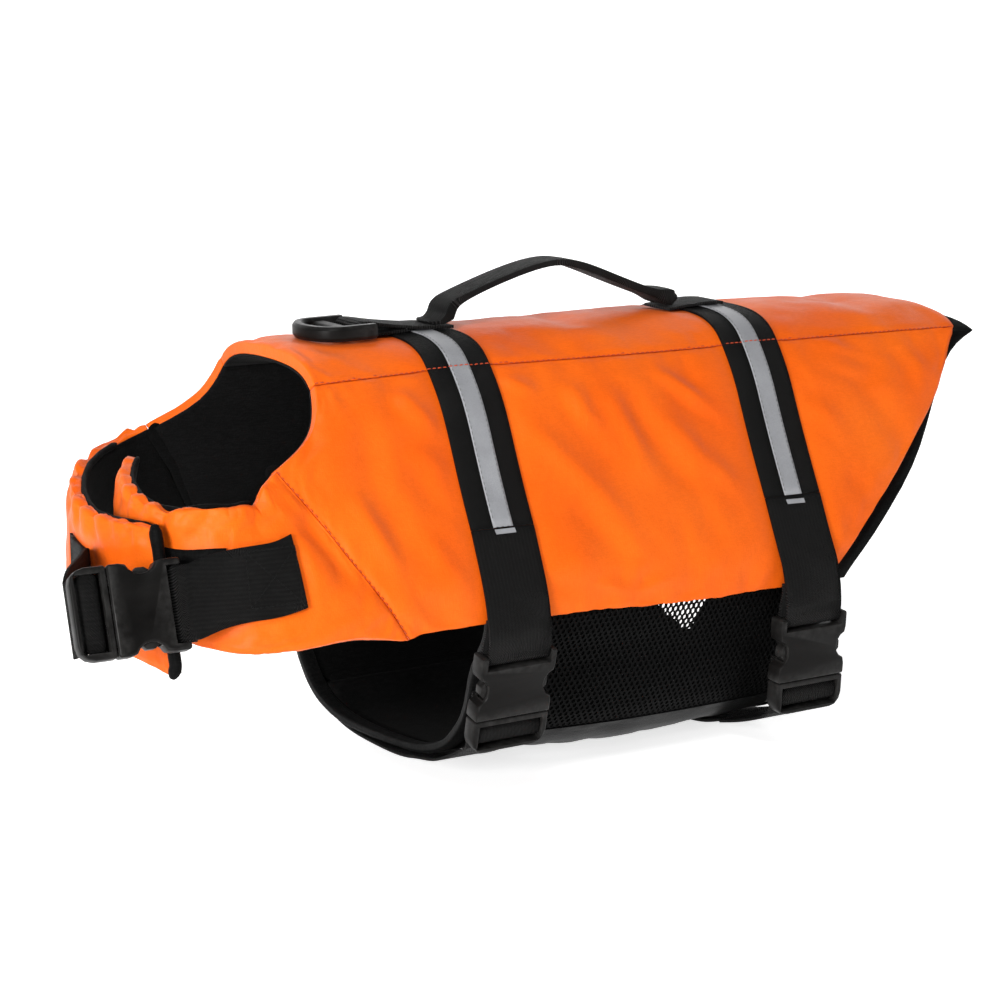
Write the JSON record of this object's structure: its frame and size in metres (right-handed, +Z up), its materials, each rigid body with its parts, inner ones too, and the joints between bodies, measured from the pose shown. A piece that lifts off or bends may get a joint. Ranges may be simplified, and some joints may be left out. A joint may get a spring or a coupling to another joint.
{
  "type": "dog life jacket",
  "caption": "Dog life jacket in its worn form: padded back and neck flaps, mesh belly, webbing belts with side-release buckles, lifting handle and a swinging leash ring.",
  "frame": {"origin": "where the lining rests on the dog's spine, midway between the two belly belts", "axes": "+X towards the tail, +Y to the dog's right, +Z up"},
  "size_m": [0.5973, 0.2269, 0.2772],
  "materials": {
    "orange_cloth": "coated oxford cloth, satin",
    "black_cloth": "matt nylon",
    "black_mesh": "matt air mesh",
    "webbing": "ribbed webbing, matt",
    "reflective_tape": "satin reflective tape",
    "charcoal_plastic": "moulded, satin"
  },
  "bodies": {
    "jacket": {"top_panel": "orange_cloth", "side_panel_left": "orange_cloth", "side_panel_right": "orange_cloth", "neck_flap_left": "orange_cloth", "neck_flap_right": "orange_cloth", "top_lining": "black_cloth", "side_lining_left": "black_cloth", "side_lining_right": "black_cloth", "neck_flap_left_lining": "black_cloth", "neck_flap_right_lining": "black_cloth", "belly_panel": "black_cloth", "belly_binding_front": "black_cloth", "belly_binding_rear": "black_cloth", "hook_and_loop_patch": "black_cloth", "belly_mesh_left": "black_mesh", "belly_mesh_right": "black_mesh", "front_back_strip": "webbing", "rear_back_strip": "webbing", "front_left_webbing": "webbing", "rear_left_webbing": "webbing", "front_under_belly_webbing": "webbing", "rear_under_belly_webbing": "webbing", "chest_webbing_left": "webbing", "chest_webbing_right": "webbing", "spine_webbing": "webbing", "rear_spine_webbing": "webbing", "handle": "webbing", "front_reflective_tape": "reflective_tape", "rear_reflective_tape": "reflective_tape", "chest_buckle_socket": "charcoal_plastic", "chest_buckle_prong": "charcoal_plastic", "front_buckle_socket": "charcoal_plastic", "front_buckle_prong": "charcoal_plastic", "rear_buckle_socket": "charcoal_plastic", "rear_buckle_prong": "charcoal_plastic"},
    "leash_ring": {"leash_ring": "charcoal_plastic"}
  },
  "joints": [
    {"name": "leash_ring_swing", "type": "hinge", "parent": "jacket", "child": "leash_ring", "pos_m": [-0.13, 0, 0.0204], "axis": [0, 1, 0], "range_deg": [0, 140]}
  ]
}
